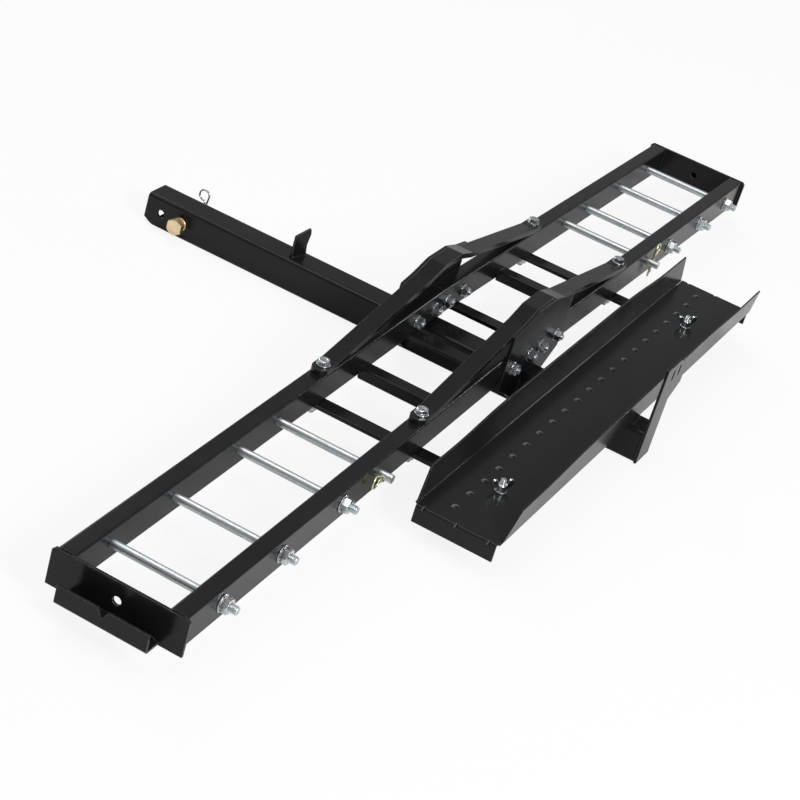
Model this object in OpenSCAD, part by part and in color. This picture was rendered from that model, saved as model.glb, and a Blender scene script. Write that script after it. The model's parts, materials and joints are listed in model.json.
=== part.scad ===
// Hitch motorcycle carrier: a two-rail wheel track on a square drawbar, with its loading ramp
// stowed beside the track. The origin is on the hitch pin's axis in the middle of the drawbar.
// X runs along the wheel track, +Y points to the vehicle, +Z is up.

/* [Drawbar] */
// Outside size of the square drawbar
bar_size = 50.8; // [49.8:0.2:51.6]
// Wall of the drawbar
bar_wall = 5; // [4:0.5:6]
// Outside corner radius of the drawbar
bar_corner = 6.5; // [6.5:0.5:8]
// From the hitch pin to the end that goes into the receiver
bar_front = 64; // [56:1:80]
// From the hitch pin to the rear end of the drawbar
bar_rear = 788; // [786:1:800]
// Length of the cut-away lower corner at the receiver end
nose_cut = 18; // [10:1:22]
// From the hitch pin to the second hole in the drawbar
spare_hole_y = 37; // [34:1:42]
// Diameter of the second hole
spare_hole_d = 12.7; // [8:0.1:14]
// From the hitch pin to the upright tab
tab_y = 190; // [120:5:260]
// Width of the upright tab
tab_w = 30; // [20:1:40]
// Height of the upright tab at its taller side
tab_h = 45; // [35:1:60]
// Turn of the tab on the drawbar
tab_turn = 18; // [0:1:40]

/* [Hitch pin] */
// Diameter of the hitch pin
pin_d = 15.9; // [14:0.1:16.4]
// Across flats of the hitch pin's head
pin_head_af = 24; // [22:0.5:27]
// Height of the hitch pin's head
pin_head_h = 10; // [8:0.5:12]
// From the drawbar's side to the underside of the pin's head
pin_reach = 11; // [8:0.5:16]
// Length of the pin past the drawbar's other side
pin_tail = 26; // [24:1:36]
// Diameter of the collar behind the pin's head
collar_d = 22; // [20:0.5:24]
// Thickness of the collar
collar_t = 4; // [3:0.5:6]

/* [Wire clips] */
// Diameter of the clip wire
wire_d = 3.2; // [2.6:0.1:3.6]
// Radius of the clip's eye, to the middle of the wire
eye_r = 8.5; // [7:0.5:10]
// Length of the straight leg past the pin
leg_tail = 18; // [14:1:24]
// Turn of the left stop pin's clip about its pin
left_clip_turn = -68; // [-90:1:90]
// Turn of the hitch pin's clip about its pin
hitch_clip_turn = -8; // [-60:1:60]
// From the hitch pin's end to its clip
hitch_clip_in = 10; // [8:1:12]

/* [Wheel track] */
// Length of the wheel track over its rails
track_len = 1905; // [1850:5:2000]
// Width of the wheel track over its rails
track_w = 178; // [174:1:190]
// From the hitch pin to the middle of the track
track_back = 494; // [480:2:494]
// Width of a rail
rail_w = 25; // [25:1:30]
// Height of a rail
rail_h = 46; // [42:1:50]
// Wall of a rail
rail_wall = 2; // [1.5:0.1:3]
// Outside corner radius of a rail
rail_corner = 3; // [3:0.5:4]
// Rise of the track's middle above its ends
crown = 24.4; // [16:0.2:30]
// Gap between the two halves of a rail at the underside
splice_gap = 0.6; // [0.3:0.1:3]

/* [Rods and stop pins] */
// Diameter of the ladder rods and stop pins
rod_d = 12; // [10:0.1:12]
// Distance of the outer ladder rods from the track's ends
rod_end = 79.5; // [70:0.5:90]
// From the outer ladder rod to the middle one
rod_step_outer = 138; // [125:1:150]
// From the middle ladder rod to the inner one
rod_step_inner = 153; // [140:1:165]
// From the inner ladder rod to the stop pin
stop_step = 100; // [85:1:110]
// Depth of the rod axes below the rail's top
rod_drop = 21.5; // [18:0.5:25]
// Length of a rod past its nut
rod_thread_end = 10; // [4:0.5:12]
// Diameter of the flat heads of the rods and stop pins, behind the far rail
flat_head_d = 19; // [16:1:24]
// Thickness of those heads
flat_head_t = 4; // [3:0.5:6]
// From the rail's outer face to the stop pin's near end
stop_tail = 20; // [18:1:26]
// From the rail's outer face to the stop pin's clip
stop_clip_out = 8; // [6:0.5:12]

/* [End plates and hooks] */
// Thickness of the end plates
plate_t = 4; // [3:0.5:6]
// Cut of an end plate's upper corners
plate_cut = 4; // [1:0.5:8]
// How far an end plate stands out beyond the rails on each side
plate_over = 5; // [2:1:8]
// Height of the end plates
plate_h = 52; // [50:1:60]
// Diameter of the hole in each end plate
plate_hole_d = 12; // [8:0.5:14]
// Depth of the hole's centre below the plate's top
plate_hole_z = 25; // [18:1:26]
// Length of the hook channel
hook_len = 126; // [100:2:140]
// Reach of the hook channel out from the end plate
hook_reach = 28.5; // [24:0.5:34]
// Height of the hook channel's lip
hook_h = 27; // [22:1:30]
// Thickness of the hook channel
hook_t = 3; // [2:0.5:4]
// Depth of the notch in the lip
notch_h = 11.5; // [6:0.5:14]

/* [Wings and side plates] */
// Distance of the wing bolts from the middle of the track
wing_bolt_x = 354; // [340:1:370]
// Thickness of the wing bar
wing_t = 8; // [5:0.5:9]
// Distance from the middle at which a wing leaves the rail
wing_lift_x = 333; // [320:1:336]
// Distance of the wing's shoulder from the middle
wing_shoulder_x = 72; // [60:1:90]
// Height of the wing's shoulder above the crown of the rails
wing_shoulder_h = 41; // [34:1:48]
// Half length of the wing's flat top
wing_top_x = 30; // [20:1:40]
// Height of the wing's top above the crown of the rails
wing_top_h = 52; // [50:1:60]
// Half length of a side plate
side_x = 108; // [100:1:120]
// Thickness of a side plate
side_t = 5; // [4:0.5:8]

/* [Bars under the track] */
// Distance of the support bars from the middle of the track
support_x = 354; // [340:1:370]
// Width of the flat bars and cross tubes
flat_w = 25; // [20:1:30]
// Thickness of the flat bars
flat_t = 6; // [5:0.5:8]
// Distance of the base bars from the middle
base_x = 72; // [68:1:80]
// Distance of the cross tubes from the middle
cross_x = 235.5; // [220:0.5:260]
// Height of the cross tubes
cross_h = 18; // [14:1:22]
// Depth of a cross tube's top below the rail's top
cross_drop = 34; // [26:1:36]

/* [Ramp] */
// Length of the ramp over its end lips
ramp_len = 994; // [960:2:1040]
// Distance of the ramp's middle from the track's middle
ramp_shift = 18; // [10:1:24]
// Width of the ramp's floor
ramp_w = 125.5; // [110:0.5:130]
// From the track's side to the ramp's floor
ramp_gap = 55.5; // [50:0.5:60]
// Thickness of the ramp's sheet
ramp_t = 2.5; // [2:0.1:3]
// Outside radius of the ramp's folds
fold_r = 3.5; // [3:0.5:5]
// Height of the ramp's flanges above its underside, at their ends
flange_h = 44; // [36:1:50]
// How much higher the flanges are in the middle
flange_rise = 7.4; // [0:0.2:10]
// Half length over which the flanges keep their full height
flange_flat = 225; // [100:5:300]
// Length over which a flange comes down from its full height
flange_ease = 180; // [80:5:180]
// How far a flange leans out over its height
flange_lean = 5; // [0:0.5:8]
// Height of the lips at the ramp's ends
lip_h = 26; // [20:1:30]
// Number of grip dimples along the floor
dimples = 21; // [5:1:24]
// Distance of the outermost grip dimples from the ramp's ends
dimple_end = 39; // [24:1:60]
// Distance of the row of dimples from the ramp's centre line
dimple_row = 21; // [0:1:36]
// Length of the relief slits that part the flanges from the floor at the right end
slit_len = 24; // [6:1:40]
// Distance between the darts pressed into each end fold
dart_pitch = 48; // [20:1:50]
// How far the flanges stop short of the ramp's ends
flange_end_in = 6; // [2:1:12]
// Distance of the ramp studs from the drawbar side edge of the floor
stud_in = 68.5; // [60:0.5:76]
// Diameter of the ramp studs
stud_d = 8; // [6:0.5:10]
// Height of the ramp studs above the ramp's floor
stud_top = 20; // [16:1:30]
// Turn of the wing nuts on their studs
wing_nut_turn = -38; // [-90:1:90]

/* [Rear bracket] */
// Width of the rear bracket's stem
bracket_w = 50; // [46:1:50]
// Thickness of the rear bracket
bracket_t = 4; // [3:0.5:6]
// Height of the rear bracket's top above the drawbar
bracket_h = 105; // [90:1:120]
// Distance between the two slots of the bracket
slot_pitch = 25; // [20:1:30]

/* [Fasteners] */
// Diameter of the splice bolts
splice_d = 10; // [8:0.5:12]
// Distance of the inner splice bolts from the middle
splice_in_x = 21.5; // [18:0.5:26]
// Distance of the outer splice bolts from the middle
splice_out_x = 79; // [70:1:90]
// Diameter of the wing bolts
wing_bolt_d = 10; // [8:0.5:12]
// Length of a bolt past its nut
thread_end = 5; // [2:0.5:8]
// Thickness of the washers
washer_t = 2; // [1.5:0.1:3]
// Clearance round a bolt or rod in its hole
hole_play = 0.3; // [0.2:0.05:0.5]
// Clearance round a pin that turns in its holes
turn_play = 0.06; // [0.04:0.01:0.1]

/* [Hidden] */
$fn = 48;
black = "#26272a";
zinc = "#c3c7cb";
yellow_zinc = "#c9ad5b";

half_len = track_len / 2;
half_w = track_w / 2;
tilt = atan(crown / half_len);
rail_len = half_len / cos(tilt);
rail_y = half_w - rail_w / 2;
inner_w = track_w - 2 * rail_w;
track_y = -track_back;
deck_z = bar_size / 2;
// The rails stand so high that the support bars under them are level with the drawbar's top
crown_z = deck_z + (support_x - flat_w / 2) * sin(tilt) + rail_h * cos(tilt);
rod_outer_x = half_len - rod_end;
rod_middle_x = rod_outer_x - rod_step_outer;
rod_inner_x = rod_middle_x - rod_step_inner;
stop_x = rod_inner_x - stop_step;
rod_xs = [rod_outer_x, rod_middle_x, rod_inner_x];
splice_xs = [splice_in_x, splice_out_x];
rail_mid = rail_h / 2;
hitch_clip_x = bar_size / 2 + pin_tail - hitch_clip_in;
stop_clip_y = -half_w - stop_clip_out;

// Common proportions of hexagon fasteners
function nut_h(d) = 0.84 * d;
function nut_af(d) = d < 11 ? 1.7 * d : 1.58 * d;
function washer_od(d) = 2 * d;
function head_h(d) = 0.64 * d;

// Points mirrored to the left, in reverse order
function mirrored(line) = [for (i = [len(line) - 1:-1:0]) [-line[i][0], line[i][1]]];
// Point of a half frame, as its distance from the middle and its height above the crown
function on_half(x, z) = [x * cos(tilt) + z * sin(tilt), z * cos(tilt) - x * sin(tilt)];
// Upper face of the wing bar from where it leaves the rail to its flat top
wing_line = [on_half(wing_lift_x, wing_t), [wing_shoulder_x, wing_shoulder_h], [wing_top_x, wing_top_h]];
wing_slope = (wing_shoulder_h - wing_line[0][1]) / (wing_lift_x - wing_shoulder_x);
wing_end_x = wing_bolt_x + rail_w / 2 + 6;

ramp_near_y = track_y - half_w - ramp_gap;
ramp_far_y = ramp_near_y - ramp_w;
ramp_mid_y = (ramp_near_y + ramp_far_y) / 2;
stud_y = ramp_near_y - stud_in;
// Clearance between a stud and the nut that turns on it
stud_turn_gap = 0.1;
nut_seat = deck_z + ramp_t;

// Frame of one half of the track: origin on the crown, +X out along the rail, rail top at z = 0
module half_frame(side) {
    translate([0, track_y, crown_z])
        if (side > 0) rotate([0, tilt, 0]) children();
        else mirror([1, 0, 0]) rotate([0, tilt, 0]) children();
}

// Points of an arc about c, from one angle to another
function arc(c, r, from, to) = [for (k = [0:8])
    let(a = from + (to - from) * k / 8) [c[0] + r * cos(a), c[1] + r * sin(a)]];

module rounded_rect(w, h, r) {
    square([w - 2 * r, h], center = true);
    square([w, h - 2 * r], center = true);
    for (x = [-1, 1], y = [-1, 1])
        translate([x * (w / 2 - r), y * (h / 2 - r)]) circle(r);
}

// Square or oblong tube along +X, its top at z = 0
module tube_x(len, w, h, wall, corner) {
    translate([0, 0, -h / 2]) rotate([90, 0, 90]) linear_extrude(len)
        difference() {
            rounded_rect(w, h, corner);
            rounded_rect(w - 2 * wall, h - 2 * wall, max(corner - wall, 0.6));
        }
}

module rod_y(len, d) {
    translate([0, len / 2, 0]) rotate([90, 0, 0]) cylinder(h = len, d = d);
}

// Hexagon nut on its own axis, from z = 0 upwards
module hex_nut(d) {
    difference() {
        cylinder(h = nut_h(d), d = nut_af(d) / cos(30), $fn = 6);
        translate([0, 0, -1]) cylinder(h = nut_h(d) + 2, d = d + 2 * turn_play);
    }
}

module washer(d) {
    difference() {
        cylinder(h = washer_t, d = washer_od(d));
        translate([0, 0, -1]) cylinder(h = washer_t + 2, d = d + 2 * turn_play);
    }
}

// Hexagon bolt hanging down from z = 0, with its head above
module hex_bolt(d, len) {
    cylinder(h = head_h(d), d = nut_af(d) / cos(30), $fn = 6);
    translate([0, 0, -len]) cylinder(h = len, d = d);
}

// Drawbar, closed at the back by the rear bracket

module pin_hole(len, d) {
    rotate([0, 90, 0]) cylinder(h = len, d = d);
}

module drawbar() {
    nose_rise = 0.6 * nose_cut;
    color(black) difference() {
        translate([0, bar_front, deck_z]) rotate([0, 0, -90])
            tube_x(bar_front + bar_rear, bar_size, bar_size, bar_wall, bar_corner);
        translate([-bar_size, 0, 0]) pin_hole(2 * bar_size, pin_d + 2 * turn_play);
        translate([-bar_size, spare_hole_y, 0]) pin_hole(bar_size, spare_hole_d);
        translate([bar_size, bar_front, -deck_z]) rotate([90, 0, -90])
            linear_extrude(2 * bar_size)
                polygon([[-1, -1], [nose_cut, -1], [nose_cut, 0], [0, nose_rise], [-1, nose_rise]]);
    }
}

module drawbar_tab() {
    tab_t = 4;
    low_side = 0.8 * tab_h;
    color(black) translate([0, -tab_y, deck_z]) rotate([90, 0, -tab_turn])
        linear_extrude(tab_t, center = true)
            polygon([[-tab_w / 2, 0], [tab_w / 2, 0], [0.4 * tab_w, 0.4 * tab_h],
                [tab_w / 2, 0.8 * tab_h], [0.42 * tab_w, tab_h], [-tab_w / 2, low_side]]);
}

module rear_bracket() {
    head_w = 1.76 * bracket_w;
    head_z = 0.48 * bracket_h;
    left = -bracket_w / 2;
    slot_w = 7;
    slot_l = 18;
    slot_z = deck_z + bracket_h - 18;
    slot_x = left + head_w / 2;
    color(black) translate([0, -bar_rear, 0]) rotate([90, 0, 0]) linear_extrude(bracket_t)
        difference() {
            polygon([[left, -deck_z], [-left, -deck_z], [-left, deck_z + head_z - 10],
                [left + head_w, deck_z + head_z + 6], [left + head_w, deck_z + bracket_h - 16],
                [-left + 2, deck_z + bracket_h], [left, deck_z + bracket_h]]);
            for (x = [-slot_pitch / 2, slot_pitch / 2]) translate([slot_x + x, slot_z]) {
                square([slot_w, slot_l - slot_w], center = true);
                for (z = [-1, 1]) translate([0, z * (slot_l - slot_w) / 2]) circle(d = slot_w);
            }
        }
}

// Hitch pin with its collar, and the wire clips

module hitch_pin() {
    left = -bar_size / 2 - pin_reach;
    right = bar_size / 2 + pin_tail;
    nose = 3;
    color(yellow_zinc) difference() {
        union() {
            translate([left - pin_head_h, 0, 0]) rotate([0, 90, 0])
                cylinder(h = pin_head_h, d = pin_head_af / cos(30), $fn = 6);
            translate([left, 0, 0]) rotate([0, 90, 0]) cylinder(h = right - left - nose, d = pin_d);
            translate([right - nose, 0, 0]) rotate([0, 90, 0])
                cylinder(h = nose, d1 = pin_d, d2 = pin_d - 5);
        }
        translate([hitch_clip_x, 0, 0]) rotate([-hitch_clip_turn, 0, 0]) translate([0, 0, -pin_d])
            cylinder(h = 2 * pin_d, d = wire_d + 2 * hole_play);
    }
}

module hitch_pin_collar() {
    color(yellow_zinc) translate([-bar_size / 2 - collar_t - hole_play, 0, 0]) rotate([0, 90, 0])
        difference() {
            cylinder(h = collar_t, d = collar_d);
            translate([0, 0, -1]) cylinder(h = collar_t + 2, d = pin_d + 2 * turn_play);
        }
}

// Centre line of a wire clip on a pin of radius r, in its own plane: [across, along the leg]
function clip_line(r) =
    let(hump = r + wire_d / 2 + 2 * hole_play,
        waist = wire_d * 1.15,
        span = 1.75 * r,
        turn_r = eye_r - waist,
        eye_z = span + turn_r + eye_r)
    concat(
        [[0, -r - leg_tail], [0, 0]],
        [for (a = [180:-15:-90]) [eye_r + eye_r * cos(a), eye_z + eye_r * sin(a)]],
        [for (a = [105:15:180]) [eye_r + turn_r * cos(a), eye_z - eye_r - turn_r + turn_r * sin(a)]],
        [for (s = [0.8:-0.2:-1.01]) [waist + (hump - waist) * pow(cos(90 * s), 2), span * s]],
        [[waist + 1.5, -span - 4], [waist + 4, -span - 8]]);

function unit2(v) = v / norm(v);
function heading(p, i) = unit2(p[min(i + 1, len(p) - 1)] - p[max(i - 1, 0)]);

// Round wire swept along a flat centre line, in the XZ plane
module wire(line, d) {
    sides = 10;
    last = len(line) - 1;
    rings = [for (i = [0:last], k = [0:sides - 1])
        let(h = heading(line, i), a = 360 * k / sides, c = d / 2 * cos(a))
        [line[i][0] - h[1] * c, d / 2 * sin(a), line[i][1] + h[0] * c]];
    faces = concat(
        [[for (k = [0:sides - 1]) k]],
        [for (i = [0:last - 1], k = [0:sides - 1])
            let(a = i * sides + k, b = i * sides + (k + 1) % sides)
            [a, a + sides, b + sides, b]],
        [[for (k = [sides - 1:-1:0]) last * sides + k]]);
    polyhedron(points = rings, faces = faces);
}

module hitch_pin_clip() {
    color(zinc) translate([hitch_clip_x, 0, 0]) rotate([-hitch_clip_turn, 0, 0])
        rotate([0, 0, 90]) wire(clip_line(pin_d / 2), wire_d);
}

// Wheel track

module rail(side, row) {
    color(black) difference() {
        half_frame(side) difference() {
            translate([0, row * rail_y, 0])
                tube_x(rail_len, rail_w, rail_h, rail_wall, rail_corner);
            for (x = rod_xs) translate([x, 0, -rod_drop]) rod_y(2 * track_w, rod_d + 2 * hole_play);
            translate([stop_x, 0, -rod_drop]) rod_y(2 * track_w, rod_d + 2 * turn_play);
            for (x = splice_xs) translate([x, 0, -rail_mid]) rod_y(2 * track_w, splice_d + 2 * hole_play);
            translate([wing_bolt_x, row * rail_y, -2 * rail_h])
                cylinder(h = 3 * rail_h, d = wing_bolt_d + 2 * hole_play);
        }
        // The inner end is cut plumb, so that the two halves meet with an even gap
        translate([side * (splice_gap / 2 - track_w), track_y, crown_z - rail_h])
            cube([2 * track_w, 2 * track_w, 4 * rail_h], center = true);
    }
}

module end_plate(side) {
    over = half_w + plate_over;
    color(black) half_frame(side) translate([rail_len, 0, 0]) rotate([90, 0, 90])
        linear_extrude(plate_t) difference() {
            polygon([[-over, -plate_h], [over, -plate_h], [over, -plate_cut], [over - plate_cut, 0],
                [plate_cut - over, 0], [-over, -plate_cut]]);
            translate([0, -plate_hole_z]) circle(d = plate_hole_d);
        }
}

module hook_channel(side) {
    notch_w = 0.65 * notch_h;
    foot = -plate_h + 2;
    bend_r = hook_t + 2;
    bend = [hook_reach - bend_r, bend_r];
    above = 1;
    mouth = notch_w * (notch_h + above) / notch_h;
    color(black) half_frame(side) translate([rail_len + plate_t, 0, foot]) difference() {
        translate([0, hook_len / 2, 0]) rotate([90, 0, 0]) linear_extrude(hook_len)
            polygon(concat([[0, 0]], arc(bend, bend_r, -90, 0),
                [[hook_reach, hook_h], [hook_reach - hook_t, hook_h]],
                arc(bend, bend_r - hook_t, 0, -90), [[0, hook_t]]));
        translate([hook_reach - 2 * hook_t, 0, hook_h]) rotate([90, 0, 90]) linear_extrude(3 * hook_t)
            polygon([[0, -notch_h], [mouth, above], [-mouth, above]]);
    }
}

// Plain rod across both rails with a flat head behind the far one, from its head to y = -near
module headed_rod(near, far) {
    translate([0, (far - near) / 2, 0]) rod_y(far + near, rod_d);
    translate([0, far + flat_head_t / 2, 0]) rod_y(flat_head_t, flat_head_d);
}

module ladder_rod(side, x) {
    near = half_w + washer_t + nut_h(rod_d) + rod_thread_end;
    color(zinc) half_frame(side) translate([x, 0, -rod_drop]) headed_rod(near, half_w);
}

// Places children on the near rail's outer face at each rod, +Z pointing outwards
module at_rod_ends() {
    for (side = [-1, 1], x = rod_xs) half_frame(side)
        translate([x, -half_w, -rod_drop]) rotate([90, 0, 0]) children();
}

module rod_nuts() {
    color(zinc) at_rod_ends() translate([0, 0, washer_t]) hex_nut(rod_d);
}

module rod_washers() {
    color(zinc) at_rod_ends() washer(rod_d);
}

// Stop pins with a flat head behind the far rail and a clip before the near one

module stop_pin(side) {
    turn = side < 0 ? left_clip_turn : 0;
    color(zinc) half_frame(side) translate([stop_x, 0, -rod_drop]) difference() {
        headed_rod(half_w + stop_tail, half_w + hole_play);
        translate([0, stop_clip_y, 0]) rotate([0, -turn, 0]) translate([0, 0, -rod_d])
            cylinder(h = 2 * rod_d, d = wire_d + 2 * hole_play);
    }
}

module stop_clip(side) {
    turn = side < 0 ? left_clip_turn : 0;
    color(yellow_zinc) half_frame(side) translate([stop_x, stop_clip_y, -rod_drop])
        rotate([0, -turn, 0]) wire(clip_line(rod_d / 2), wire_d);
}

// Side plates, wings and their bolts

module side_plate(row) {
    hip = -rail_h - 8;
    toe = -rail_h - 30;
    foot = deck_z - bar_size + 4 - crown_z;
    edge_h = wing_shoulder_h - (side_x - wing_shoulder_x) * wing_slope;
    right = [[bar_size / 2, foot], [0.6 * side_x, toe], [side_x, hip], [side_x, edge_h],
        [wing_shoulder_x, wing_shoulder_h], [wing_top_x, wing_top_h]];
    color(black) difference() {
        translate([0, track_y + row * (half_w + side_t / 2) + side_t / 2, crown_z])
            rotate([90, 0, 0]) linear_extrude(side_t) difference() {
                polygon(concat(right, mirrored(right)));
                translate([-bar_size / 2, foot - 1])
                    square([bar_size, deck_z - crown_z - foot + 1]);
            }
        for (side = [-1, 1], x = splice_xs) half_frame(side) translate([x, 0, -rail_mid])
            rod_y(2 * track_w, splice_d + 2 * hole_play);
    }
}

module wing(row) {
    round_x = wing_end_x - rail_w / 2;
    inset = 0.15 * wing_t;
    over = concat([on_half(wing_end_x + 1, wing_t)], wing_line);
    under = [[wing_top_x - inset, wing_top_h - wing_t], [wing_shoulder_x - inset, wing_shoulder_h - wing_t],
        on_half(wing_lift_x - inset, 0), on_half(wing_end_x + 1, 0)];
    color(black) difference() {
        intersection() {
            translate([0, track_y + row * rail_y + rail_w, crown_z]) rotate([90, 0, 0])
                linear_extrude(2 * rail_w)
                    polygon(concat(over, mirrored(over), mirrored(under), under));
            translate([0, track_y + row * rail_y, crown_z - rail_h]) linear_extrude(3 * rail_h) {
                square([2 * round_x, rail_w], center = true);
                for (side = [-1, 1]) translate([side * round_x, 0]) circle(d = rail_w);
            }
        }
        for (side = [-1, 1]) half_frame(side) translate([wing_bolt_x, row * rail_y, -wing_t])
            cylinder(h = 3 * wing_t, d = wing_bolt_d + 2 * hole_play);
    }
}

// Places children at each splice bolt, +Z pointing to the vehicle, z = 0 on the given plane
module at_splices(near_z, far_z) {
    for (side = [-1, 1], x = splice_xs) half_frame(side) {
        translate([x, near_z, -rail_mid]) rotate([-90, 0, 0]) children();
        translate([x, far_z, -rail_mid]) rotate([-90, 0, 0]) children();
    }
}

module splice_bolts() {
    grip = rail_w + side_t;
    color(zinc) at_splices(-half_w + rail_w, half_w + side_t)
        hex_bolt(splice_d, grip + washer_t + nut_h(splice_d) + 0.6 * thread_end);
}

module splice_washers() {
    color(zinc) at_splices(-half_w - side_t - washer_t, half_w - rail_w - washer_t) washer(splice_d);
}

module splice_nuts() {
    drop = washer_t + nut_h(splice_d);
    color(zinc) at_splices(-half_w - side_t - drop, half_w - rail_w - drop) hex_nut(splice_d);
}

module at_wing_bolts(z) {
    for (side = [-1, 1], row = [-1, 1]) half_frame(side)
        translate([wing_bolt_x, row * rail_y, z]) children();
}

module wing_bolts() {
    color(zinc) at_wing_bolts(wing_t + washer_t)
        hex_bolt(wing_bolt_d, 2 * washer_t + wing_t + rail_h + flat_t + nut_h(wing_bolt_d) + thread_end);
}

module wing_washers() {
    color(zinc) {
        at_wing_bolts(wing_t) washer(wing_bolt_d);
        at_wing_bolts(-rail_h - flat_t - washer_t) washer(wing_bolt_d);
    }
}

module wing_bolt_nuts() {
    color(zinc) at_wing_bolts(-rail_h - flat_t - washer_t - nut_h(wing_bolt_d)) hex_nut(wing_bolt_d);
}

// Bars under the track

module base_bar(side) {
    color(black) half_frame(side) translate([base_x - flat_w / 2, -half_w, -rail_h - flat_t])
        cube([flat_w, track_w, flat_t]);
}

module cross_tube(side) {
    color(black) half_frame(side) translate([cross_x, -inner_w / 2, -cross_drop]) rotate([0, 0, 90])
        tube_x(inner_w, flat_w, cross_h, 2, 2.6);
}

module support_bar(side) {
    far = half_w;
    near = ramp_far_y - track_y + 4;
    color(black) difference() {
        half_frame(side) difference() {
            translate([support_x - flat_w / 2, near, -rail_h - flat_t])
                cube([flat_w, far - near, flat_t]);
            for (row = [-1, 1]) translate([wing_bolt_x, row * rail_y, -2 * rail_h])
                cylinder(h = 3 * rail_h, d = wing_bolt_d + 2 * hole_play);
        }
        translate([side * support_x, stud_y, -deck_z]) cylinder(h = 3 * deck_z, d = stud_d + 2 * hole_play);
    }
}

// Loading ramp and what holds it

// Height of the flanges above the ramp's underside, at a distance from its middle
function flange_top(x) = let(u = min(max((abs(x) - flange_flat) / flange_ease, 0), 1))
    flange_h + flange_rise * (1 + cos(180 * u)) / 2;

// Cross-section of the folded sheet: floor and two leaning flanges, floor's underside at y = 0
module ramp_section() {
    lean = atan(flange_lean / flange_h);
    top = flange_h + flange_rise + 1;
    edge = ramp_w / 2 + top * tan(lean);
    bend = [ramp_w / 2 - fold_r * (1 - sin(lean)) / cos(lean), fold_r];
    line = concat(arc(bend, fold_r, -90, -lean), [[edge, top], [edge - ramp_t / cos(lean), top]],
        arc(bend, fold_r - ramp_t, -lean, -90));
    polygon(concat(line, mirrored(line)));
}

// Side view of the flanges: arched top, and the corner at the left end cut back
module flange_outline() {
    end = ramp_len / 2 - flange_end_in;
    cut_low = 0.1 * flange_h;
    cut_top = 0.7 * flange_h;
    steps = 32;
    polygon(concat([[-end, -1], [end, -1]],
        [for (k = [steps:-1:0]) let(x = cut_top - end + (2 * end - cut_top) * k / steps) [x, flange_top(x)]],
        [[cut_low - end, 1.2 * ramp_t], [-end, 1.2 * ramp_t]]));
}

// Lengthwise section of the floor with its end lips folded down, or its filled outline
module lip_section(filled) {
    half = ramp_len / 2;
    bend = [half - fold_r, ramp_t - fold_r];
    low = ramp_t - lip_h;
    outer = concat(arc(bend, fold_r, 90, 0), [[half, low]]);
    inner = filled ? [] : concat([[half - ramp_t, low]], arc(bend, fold_r - ramp_t, 0, 90));
    polygon(concat(outer, inner, mirrored(inner), mirrored(outer)));
}

// Rods lying across the end folds at 45 degrees, for the pressed darts
module darts(d) {
    for (side = [-1, 1], row = [-1:1]) translate([side * (ramp_len / 2 - 1), row * dart_pitch, ramp_t - 1])
        rotate([0, side * 45 + 90, 0]) cylinder(h = 40, d = d, center = true);
}

module ramp_floor() {
    width = ramp_w - 2 * fold_r;
    groove = 5;
    difference() {
        union() {
            translate([0, width / 2, 0]) rotate([90, 0, 0]) linear_extrude(width) lip_section(false);
            intersection() {
                darts(groove + 2 * ramp_t);
                translate([0, width / 2, 0]) rotate([90, 0, 0]) linear_extrude(width) lip_section(true);
            }
        }
        darts(groove);
    }
}

module ramp() {
    flange_len = ramp_len - 2 * flange_end_in;
    over = 1;
    pitch = (ramp_len - 2 * dimple_end) / (dimples - 1);
    color(black) difference() {
        translate([ramp_shift, ramp_mid_y, deck_z]) union() {
            intersection() {
                translate([-flange_len / 2, 0, 0]) rotate([90, 0, 90])
                    linear_extrude(flange_len) ramp_section();
                translate([0, ramp_w, 0]) rotate([90, 0, 0]) linear_extrude(2 * ramp_w) flange_outline();
            }
            ramp_floor();
            for (i = [0:dimples - 1])
                translate([(i - (dimples - 1) / 2) * pitch, dimple_row, ramp_t])
                    cylinder(h = 2.2, d1 = 13, d2 = 5);
        }
        for (side = [-1, 1]) translate([side * support_x, stud_y, 0])
            cylinder(h = 3 * deck_z, d = stud_d + 2 * hole_play);
        for (row = [-1, 1]) translate([ramp_shift + flange_len / 2, ramp_mid_y, deck_z])
            translate([0, row * (ramp_w / 2 - fold_r / 2 + over), 0])
                cube([2 * slit_len, fold_r + 2 * over, 2 * ramp_t], center = true);
    }
}

// Bolts set upwards through the support bars
module ramp_studs() {
    // The bars slope a little, so the heads stay just clear of them
    head_z = deck_z - flat_t - 2 * hole_play - 0.1;
    color(zinc) for (side = [-1, 1]) translate([side * support_x, stud_y, head_z]) mirror([0, 0, 1])
        hex_bolt(stud_d, flat_t + ramp_t + stud_top);
}

module ramp_washers() {
    color(zinc) for (side = [-1, 1]) translate([side * support_x, stud_y, nut_seat]) difference() {
        cylinder(h = washer_t, d = 2.2 * stud_d);
        translate([0, 0, -1]) cylinder(h = washer_t + 2, d = stud_d + 2 * stud_turn_gap);
    }
}

module wing_nut(side) {
    hub_d = 2 * stud_d;
    hub_h = 1.1 * stud_d;
    span = 4.2 * stud_d;
    seat = nut_seat + washer_t + hole_play;
    color(zinc) translate([side * support_x, stud_y, seat]) rotate([0, 0, wing_nut_turn])
        difference() {
            union() {
                cylinder(h = hub_h, d1 = hub_d, d2 = 0.8 * hub_d);
                rotate([90, 0, 0]) linear_extrude(3, center = true) {
                    for (s = [-1, 1]) {
                        polygon([[0, 1], [s * 0.3 * span, 1], [s * 0.5 * span, 12],
                            [s * 0.34 * span, 15], [s * 0.2 * span, hub_h], [0, hub_h]]);
                        translate([s * 0.42 * span, 13]) circle(3.4);
                    }
                }
            }
            translate([0, 0, -1]) cylinder(h = 30, d = stud_d + 2 * stud_turn_gap);
        }
}

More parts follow.
